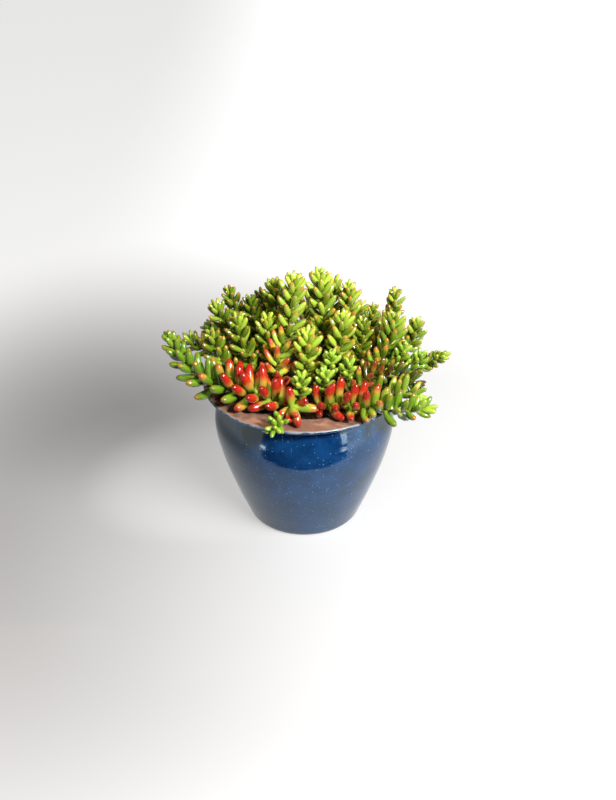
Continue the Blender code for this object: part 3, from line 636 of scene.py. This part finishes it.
def grow():
    """Every stem with its leaves. Leaves are set tip first, a ring of stems at a time, and each is
    turned or drawn in until it clears its neighbours, or left out where it can't."""
    draw = random.Random(SEED)
    stems = []
    for number, (name, plan) in enumerate(STEMS.items()):
        foot, *rest = plan["route"]
        points = [(foot[0] * MM, foot[1] * MM, SOIL_LEVEL + 2 * MM)]
        points += [(x * MM, y * MM, z * MM) for x, y, z in rest]
        line = stem_line(points)
        stations = leaf_stations((len(line) - 1) * STEM_STEP, plan["bare"] * MM, plan["sparse"])
        stems.append({
            "name": name, "finish": plan["finish"], "leaf": plan["leaf"] * MM, "head": plan["head"],
            "plump": plan["plump"], "zone": plan["zone"] * MM, "grown": plan["grown"] * MM,
            "line": line, "frames": side_frames(line), "foot": points[0], "turn": number * 0.7,
            "stations": stations, "sways": [(draw.uniform(-1, 1), draw.uniform(-1, 1)) for _ in stations],
            "leaves": [],
        })
    stem_balls = (
        np.concatenate([s["line"] for s in stems]),
        np.concatenate([np.full(len(s["line"]), STEM_RADIUS) for s in stems]),
        np.concatenate([np.full(len(s["line"]), i) for i, s in enumerate(stems)]),
    )
    placed = (np.zeros((0, 3)), np.zeros(0), np.zeros(0, int))
    outline = pot_outline()
    for index in range(max(len(s["stations"]) for s in stems)):
        for own, stem in enumerate(stems):
            if index >= len(stem["stations"]):
                continue
            for spread_share, turn, size in LEAF_TRIES:
                leaf = leaf_at(stem, index, spread_share, turn, size)
                if is_clear(leaf, own, outline, stem_balls, placed):
                    centres, radii = balls_of(leaf)
                    owners = np.full(len(radii), own)
                    placed = tuple(np.concatenate(pair) for pair in zip(placed, (centres, radii, owners)))
                    stem["leaves"].append(leaf)
                    break
    return stems


# One leaf is modelled, as long and as wide as 1, and copied: a ring at its root, drawn up ring by ring
# through its belly, and closed at both ends. A grown leaf is drawn a little thicker than it was planned,
# and a young one by a third.
LEAF_SIDES = 8
LEAF_RINGS = ((0.14, 0.72), (0.38, 0.97), (0.64, 0.98), (0.85, 0.78), (0.955, 0.45))
LEAF_SWELL = {"green": 1.07, "blush": 1.05, "red": 1.06, "young": 1.32}
deselect()
bpy.ops.mesh.primitive_circle_add(vertices=LEAF_SIDES, radius=leaf_width(0) / 2)
bean = bpy.context.object
bpy.ops.object.mode_set(mode="EDIT")
bpy.ops.mesh.extrude_region_move(TRANSFORM_OT_translate={"value": (0, 0, -0.04)})
bpy.ops.mesh.merge(type="CENTER")
bpy.ops.object.mode_set(mode="OBJECT")
for v in bean.data.vertices:
    v.select = abs(v.co.z) < 1e-6
bpy.ops.object.mode_set(mode="EDIT")
width, height = leaf_width(0), 0
for new_height, new_width in LEAF_RINGS:
    bpy.ops.mesh.extrude_region_move(TRANSFORM_OT_translate={"value": (0, 0, new_height - height)})
    pull = new_width / width
    bpy.ops.transform.resize(value=(pull, pull, 1), center_override=(0, 0, 0))
    width, height = new_width, new_height
bpy.ops.mesh.extrude_region_move(TRANSFORM_OT_translate={"value": (0, 0, 1 - height)})
bpy.ops.mesh.merge(type="CENTER")
bpy.ops.mesh.select_all(action="SELECT")
bpy.ops.mesh.normals_make_consistent(inside=False)
bpy.ops.object.mode_set(mode="OBJECT")
bean.data.shade_smooth()
bean_points = np.array([v.co for v in bean.data.vertices])


def leaf_piece(leaf, swell, flush, tone):
    """A copy of the bean, bent along the leaf's middle line and swollen with water. flush is how red it
    has turned in the sun, up to 1, and tone shifts its green, lower where shade is painted on."""
    mesh = bean.data.copy()
    middle = leaf_line(leaf, bean_points[:, 2])
    ahead = leaf_line(leaf, bean_points[:, 2] + 0.01) - middle
    ahead /= np.linalg.norm(ahead, axis=1)[:, None]
    across = unit(np.cross(leaf["start"], leaf["end"] + 0.01 * np.array((0.3, 0.5, 0.8))))
    over = np.cross(ahead, across)
    points = middle + (bean_points[:, :1] * across + bean_points[:, 1:2] * over) * leaf["girth"] * swell
    mesh.vertices.foreach_set("co", points.ravel())
    set_looks(mesh, along=np.clip(bean_points[:, 2], 0, 1), flush=flush, tone=tone, stalk=0)
    obj = bpy.data.objects.new("leaf", mesh)
    bpy.context.scene.collection.objects.link(obj)
    return obj


def stem_piece(stem):
    """The stem itself: a tapered tube with its foot in the mix, made from a curve with filled caps."""
    foot = np.array(stem["foot"]) - (0, 0, STEM_DEPTH)
    points = np.concatenate([[foot], stem["line"][::3], stem["line"][-1:]])
    curve = bpy.data.curves.new("stem", "CURVE")
    curve.dimensions = "3D"
    curve.bevel_depth = STEM_RADIUS
    curve.bevel_resolution = 2
    curve.use_fill_caps = True
    spline = curve.splines.new("POLY")
    spline.points.add(len(points) - 1)
    taper = STEM_TIP_RADIUS / STEM_RADIUS
    for i, point in enumerate(points):
        spline.points[i].co = (*point, 1)
        spline.points[i].radius = 1 + (taper - 1) * max(i - 1, 0) / (len(points) - 2)
    obj = bpy.data.objects.new("stem", curve)
    bpy.context.scene.collection.objects.link(obj)
    deselect()
    obj.select_set(True)
    bpy.context.view_layer.objects.active = obj
    bpy.ops.object.convert(target="MESH")
    bpy.ops.object.mode_set(mode="EDIT")
    bpy.ops.mesh.select_all(action="SELECT")
    bpy.ops.mesh.remove_doubles(threshold=1e-6)
    bpy.ops.mesh.normals_make_consistent(inside=False)
    bpy.ops.object.mode_set(mode="OBJECT")
    obj.data.shade_smooth()
    obj.data.set_sharp_from_angle(angle=math.radians(60))
    obj.data.materials.clear()
    set_looks(obj.data, along=0.3, flush=0, tone=0, stalk=1)
    return obj


# The living finishes. A leaf's skin is smooth and waxy, with an IOR near 1.45 and a satin gloss, over
# water-filled flesh that light goes a millimetre or two into. Leaves that see the sun turn from their tips
# down through orange to red. The hex values are the colours in flat light.
LEAF_MOTTLE = 3.8 * MM
LIGHT_DEPTH = 1.5 * MM


def leaf_skin(name, dot, root, flesh, flesh_light, first_blush, sunned, tip):
    """A leaf's finish: how strongly its tip is dotted with its last colour, and its colours from its root
    through its flesh, which varies from leaf to leaf, to its first blush, to sunned skin and its tip. A
    tone under -1 darkens all of them: painted shade, for a stem that lies in the shade of the others."""
    made, tree, shader = finish(name, ior=1.45, coat_roughness=0.08, coat_ior=1.5, coat_weight=0.6)
    shader.inputs["Subsurface Radius"].default_value = (1, 0.7, 0.2)
    shader.inputs["Subsurface Scale"].default_value = LIGHT_DEPTH
    shader.inputs["Subsurface Weight"].default_value = 0.2
    place = add(tree, "TexCoord", take="Object")
    along, flush, tone, stalk = [
        add(tree, "Attribute", take="Fac", attribute_name=look)
        for look in ("along", "flush", "tone", "stalk")]
    mottle = add(tree, "TexNoise", {"Vector": place, "Scale": 1 / LEAF_MOTTLE, "Detail": 3})
    near_tip = add(tree, "Math", {0: mottle, 1: 0.12, 2: along}, operation="MULTIPLY_ADD")
    lag = add(tree, "Math", {0: flush, 1: 0.72, 2: -0.82}, operation="MULTIPLY_ADD")
    ripe = add(tree, "Math", {0: near_tip, 1: lag})
    speckled = add(tree, "MapRange", {0: flush, 1: -0.2, 2: 0.14, 4: dot})
    tip_dot = add(tree, "MapRange", {0: near_tip, 1: 0.72, 2: 1.06, 4: speckled},
                  interpolation_type="SMOOTHSTEP")
    body = colour(flesh)
    # The last layer darkens toward #1d1a08 where a tone under -1 paints shade on a stem.
    for share, low, high, least, most, shade in (
            (tone, -1, 1, 0, 1, flesh_light), (along, 0.05, 0.35, 0.7, 0, root),
            (ripe, 0.22, 0.42, 0, 1, first_blush), (ripe, 0.4, 0.66, 0, 1, sunned),
            (ripe, 0.7, 0.98, 0, 1, tip), (tip_dot, 0, 1, 0, 1, tip), (stalk, 0, 1, 0, 1, "#57521f"),
            (tone, -1, -3, 0, 0.8, "#1d1a08")):
        share = add(tree, "MapRange", {0: share, 1: low, 2: high, 3: least, 4: most},
                    interpolation_type="SMOOTHSTEP")
        body = add(tree, "Mix", {0: share, 6: body, 7: colour(shade)}, 2, data_type="RGBA")
    tree.links.new(body, shader.inputs["Base Color"])
    tree.links.new(add(tree, "MapRange", {0: mottle, 1: 0.3, 2: 0.7, 3: 0.16, 4: 0.26}),
                   shader.inputs["Roughness"])
    bump = add(tree, "Bump", {"Height": mottle, "Strength": 0.25, "Distance": 0.15 * MM})
    tree.links.new(bump, shader.inputs["Normal"])
    return made


SKINS = {
    "green": leaf_skin(
        "waxy_green_leaf", 0.6, "#989f34", "#536a12", "#96ae38", "#a8962a", "#9a5020", "#8a4a1c"),
    "blush": leaf_skin(
        "waxy_blushed_leaf", 0.6, "#9fa63a", "#5c7618", "#9ab03c", "#b08c2c", "#953e1e", "#7e3018"),
    "red": leaf_skin(
        "waxy_sunned_leaf", 0.45, "#929f36", "#527016", "#84982a", "#9c742c", "#942010", "#74120c"),
    "young": leaf_skin(
        "waxy_young_leaf", 0.3, "#93a640", "#5c7c18", "#88a436", "#b0a834", "#a0702a", "#9a6024"),
}

# How much of each stem has turned red, from the mix up, in mm, how red, and how red its other tips are.
# Stems that aren't named have only the tips of their finish.
SUNNED = {
    "trailer_left": (66, 1.0, 0.12), "trailer_right": (58, 1.0, 0.1), "stub_front": (40, 0.85, 0.5),
    "trailer_right_high": (60, 0.7, 0.1), "leader_centre": (46, 0.9, 0.12),
    "back_centre_left": (50, 0.8, 0.2), "back_centre_right": (50, 0.8, 0.2),
}
TINT_SEED = 11
PLAIN_TIPS = {"green": 0.12, "blush": 0.24, "red": 0.12, "young": 0.02}
OLD_TIPS = 0.2
TURNING_STRETCH = 24
TURN_SPREAD = (-0.22, 0.12)
# Leaves that face down are red over a shorter stretch than those that face up by this much or more.
FACING_UP = 0.6
UNDERSIDE_SHARE = 0.6
# How far the green shifts: paler within some stem steps of a tip, and painted shade: darker away from the
# middle, most on the left, away from the light, and darker on stems that lie in the shade of the others.
TONE_SPREAD = (-1, 0.6)
FRESH_TONE = 1.2
FRESH_TIP = 14
OUTER_FROM = 40 * MM
OUTER_STRETCH = 40 * MM
PAINTED_SHADE_LEFT = 1.3
PAINTED_SHADE_RIGHT = 0.8
# Painted shade: how far the leaves of each stem are darkened for lying in the shade of the others.
PAINTED_SHADE_STEMS = {
    "trailer_right_high": 2.2, "left_shade": 1.8, "crown_left_back": 1.2, "left_back_high": 0.9,
    "crown_right_back": 0.6, "inner_left_high": 0.5, "trailer_front": 0.9, "inner_right": 1.0,
}
# Heads that hold more or less water than the rest.
PLUMP_HEADS = {"trailer_right_far": 1.3, "trailer_left": 1.06, "right_outer": 1.12, "trailer_front": 0.92}
# Leaves of the stub that the growth leaves out: two to the right, one over the lip and one to the left,
# each as its way at the root, its way at the tip, its length in mm and where on the stem it sits, in mm.
STUB_PLUMP = 0.32
STUB_LEAVES = (
    ((1, -0.15, 0.1), (1, -0.1, -0.1), 24, 21), ((0.4, -1, 0.1), (0.15, -0.5, -1), 24, 22),
    ((-0.8, -0.7, 0.1), (-0.8, -0.7, -0.5), 19, 17), ((0.8, 0.1, 0.5), (1, 0.1, 0.1), 14, 15))


def clamp(value, low=0, high=1):
    """A value, kept between two limits."""
    return min(max(value, low), high)


tint = random.Random(TINT_SEED)
for stem in grow():
    run, full, tips = SUNNED.get(stem["name"], (0, 0, PLAIN_TIPS[stem["finish"]]))
    painted_shade = PAINTED_SHADE_STEMS.get(stem["name"], 0)
    swell = LEAF_SWELL[stem["finish"]] * PLUMP_HEADS.get(stem["name"], 1)
    pieces = [stem_piece(stem)]
    if stem["name"] == "stub_front":
        for start, end, length, height in STUB_LEAVES:
            height = min(height, len(stem["line"]) - 1)
            stem["leaves"].append({
                "root": stem["line"][height], "start": unit(np.array(start)), "end": unit(np.array(end)),
                "length": length * MM, "girth": STUB_PLUMP * length * MM, "height": height})
    for leaf in stem["leaves"]:
        lit = clamp(leaf["start"][2] / FACING_UP)
        stretch = run * (UNDERSIDE_SHARE + (1 - UNDERSIDE_SHARE) * lit)
        turned = clamp((stretch - leaf["height"]) / TURNING_STRETCH + 0.5)
        old = 1 - leaf["height"] / len(stem["line"])
        # Painted shade: leaves away from the middle are darkened, the left ones more, away from the light.
        outer = clamp((abs(leaf["root"][0]) - OUTER_FROM) / OUTER_STRETCH)
        outer *= PAINTED_SHADE_LEFT if leaf["root"][0] < 0 else PAINTED_SHADE_RIGHT
        fresh = FRESH_TONE * math.exp((leaf["height"] - len(stem["line"])) / FRESH_TIP)
        flush = clamp(tips + OLD_TIPS * old + (full - tips) * turned + tint.uniform(*TURN_SPREAD), -0.2)
        # The tone carries a random shift, the paler young tips and the painted shade.
        tone = clamp(tint.uniform(*TONE_SPREAD) + fresh - outer, -1) - painted_shade
        pieces.append(leaf_piece(leaf, swell, flush, tone))
    grown = joined(pieces)
    grown.name = stem["name"] + "_grown"
    grown.data.materials.clear()
    grown.data.materials.append(SKINS[stem["finish"]])
    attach(grown, "root")
    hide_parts(stem["name"])
bpy.data.objects.remove(bean)


# The place where it is photographed: a seamless pale floor, daylight from the right and above, a dim room
# in front, and the camera a little over a metre away, looking down at the plant. The paper is bright far
# off and to the right, where the daylight falls on it: that light is painted on as the paper's own glow,
# which lights nothing else.
FLOOR_SIDE = 12
GLOW_NEAR, GLOW_FAR = 0.26, 0.68
GLOW_LEFT, GLOW_RIGHT = -0.35, 0.25
deselect()
bpy.ops.mesh.primitive_plane_add(size=FLOOR_SIDE)
floor = bpy.context.object
floor.name = "floor"
paper, tree, shader = finish("pale_paper", roughness=0.7)
place = add(tree, "TexCoord", take="Object")
away = add(tree, "VectorMath", {0: place}, "Value", operation="LENGTH")
shader.inputs["Base Color"].default_value = colour("#b9b8b7")
shader.inputs["Emission Color"].default_value = colour("#ffffff")
# Painted light: the paper's glow grows with distance and toward the right.
beyond = add(tree, "MapRange", {0: away, 1: GLOW_NEAR, 2: GLOW_FAR, 3: 0.11, 4: 0.74},
             interpolation_type="SMOOTHSTEP")
across = add(tree, "SeparateXYZ", {0: place})
bright = add(tree, "MapRange", {0: across, 1: GLOW_LEFT, 2: GLOW_RIGHT, 4: 0.55},
             interpolation_type="SMOOTHSTEP")
glow = add(tree, "Math", {0: beyond, 1: bright}, operation="ADD")
tree.links.new(glow, shader.inputs["Emission Strength"])
floor.data.materials.append(paper)
floor.visible_diffuse = False


def lamp(name, size, spot, target, power, lights=None, tint="#ffffff", reflected=True, cone=None):
    """A soft lamp of that size, or else a beam that is cone degrees wide, at a spot and turned to face a
    target. It may light one collection alone, and it may be kept out of the reflections."""
    light = bpy.data.lights.new(name, "SPOT" if cone else "AREA")
    if cone:
        light.spot_size, light.spot_blend = math.radians(cone), 1
    else:
        light.shape = "RECTANGLE"
        light.size, light.size_y = size
    light.energy = power
    light.color = colour(tint)[:3]
    obj = bpy.data.objects.new(name, light)
    obj.location = spot
    obj.rotation_euler = (Vector(target) - Vector(spot)).to_track_quat("-Z", "Y").to_euler()
    obj.visible_glossy = reflected
    bpy.context.scene.collection.objects.link(obj)
    if lights:
        obj.light_linking.receiver_collection = lights
    return obj


# The window lights the plant hard, and its light on the floor is softened by the wall around it. The
# ceiling and the wall behind fill the plant's shadows, the floor's bounce lights the pot's underside, and
# a narrow beam beside the plant opens its shadow on the floor. Sizes and places are in metres.
plant = bpy.data.collections.new("plant")
for piece in bpy.context.scene.objects:
    if piece.type == "MESH" and piece != floor:
        plant.objects.link(piece)
vessel = bpy.data.collections.new("vessel")
vessel.objects.link(pot)
ground = bpy.data.collections.new("ground")
ground.objects.link(floor)
middle = (0, 0, 0.15)
lamp("window", (0.2, 0.2), (0.6, -0.85, 0.95), middle, 46, plant)
lamp("wall", (0.85, 0.85), (0.66, -0.78, 0.74), middle, 25, ground, reflected=False)
lamp("ceiling", (0.25, 0.25), (0.1, -0.15, 1.25), middle, 13, plant, reflected=False)
lamp("beside", None, (-0.5, -0.15, 0.5), (-0.085, 0.05, 0), 8, ground, reflected=False, cone=21)
lamp("behind", (0.5, 0.5), (0.1, 0.9, 0.6), middle, 6, plant, reflected=False)
bounce = lamp(
    "floor_bounce", (0.5, 0.03), (0.05, -0.3, 0.02), (0, 0, 0.04), 0.7, vessel, "#dcecff", reflected=False)
bounce.visible_camera = False
lamp("second_window", (0.13, 0.13), (-0.76, -0.59, 0.85), middle, 1, tint="#ffe9d6")

# The dim room and a curtain beside it show only as reflections in the glaze, so boards stand for them,
# and small lamps for its window panes.
BOARDS_FRONT = -0.171
BOARDS_HEIGHT = 0.24
PANE_SIZE = (0.03, 0.012)
PANE_POWER = 0.008
for name, left, right, hex_code in (
        ("dim_room", -0.165, 0.168, "#08080a"), ("dim_curtain", -1.2, -0.165, "#f6e2c0")):
    deselect()
    bpy.ops.mesh.primitive_plane_add(
        size=1, location=((left + right) / 2, BOARDS_FRONT, BOARDS_HEIGHT / 2),
        rotation=(math.pi / 2, 0, 0))
    board = bpy.context.object
    board.name = name
    board.scale = (right - left, BOARDS_HEIGHT, 1)
    dim, tree, shader = finish(name, roughness=1, base_color=(0, 0, 0, 1))
    shader.inputs["Emission Color"].default_value = colour(hex_code)
    shader.inputs["Emission Strength"].default_value = 1
    board.data.materials.append(dim)
    board.visible_camera = board.visible_diffuse = board.visible_shadow = False
    board.visible_transmission = False
for number, (spot, target) in enumerate((
        ((-0.143, -0.166, 0.088), (-0.033, -0.072, 0.11)), ((0.142, -0.166, 0.11), (0.032, -0.07, 0.118)),
        ((0.133, -0.166, 0.082), (0.032, -0.073, 0.108)))):
    pane = lamp(f"window_pane_{number}", PANE_SIZE, spot, target, PANE_POWER)
    pane.visible_diffuse = pane.visible_camera = False

world = bpy.data.worlds.new("daylight")
bpy.context.scene.world = world
world.use_nodes = True
world.node_tree.nodes["Background"].inputs["Color"].default_value = (1, 0.94, 0.88, 1)
world.node_tree.nodes["Background"].inputs["Strength"].default_value = 0.06

VIEW_DISTANCE = 1.07
VIEW_SHIFT = 3.3 * MM
VIEW_ELEVATION = math.radians(30.15)
VIEW_PITCH = math.radians(31.21)
FOCAL_PIXELS = 1203
FRAME_HEIGHT = 800
camera = bpy.data.objects.new("camera", bpy.data.cameras.new("camera"))
bpy.context.scene.collection.objects.link(camera)
camera.data.sensor_width = 36
camera.data.lens = camera.data.sensor_width * FOCAL_PIXELS / FRAME_HEIGHT
camera.location = (
    VIEW_SHIFT, -VIEW_DISTANCE * math.cos(VIEW_ELEVATION),
    POT_HEIGHT + VIEW_DISTANCE * math.sin(VIEW_ELEVATION))
camera.rotation_euler = (math.pi / 2 - VIEW_PITCH, 0, 0)
bpy.context.scene.camera = camera
bpy.context.scene.view_settings.view_transform = "Standard"
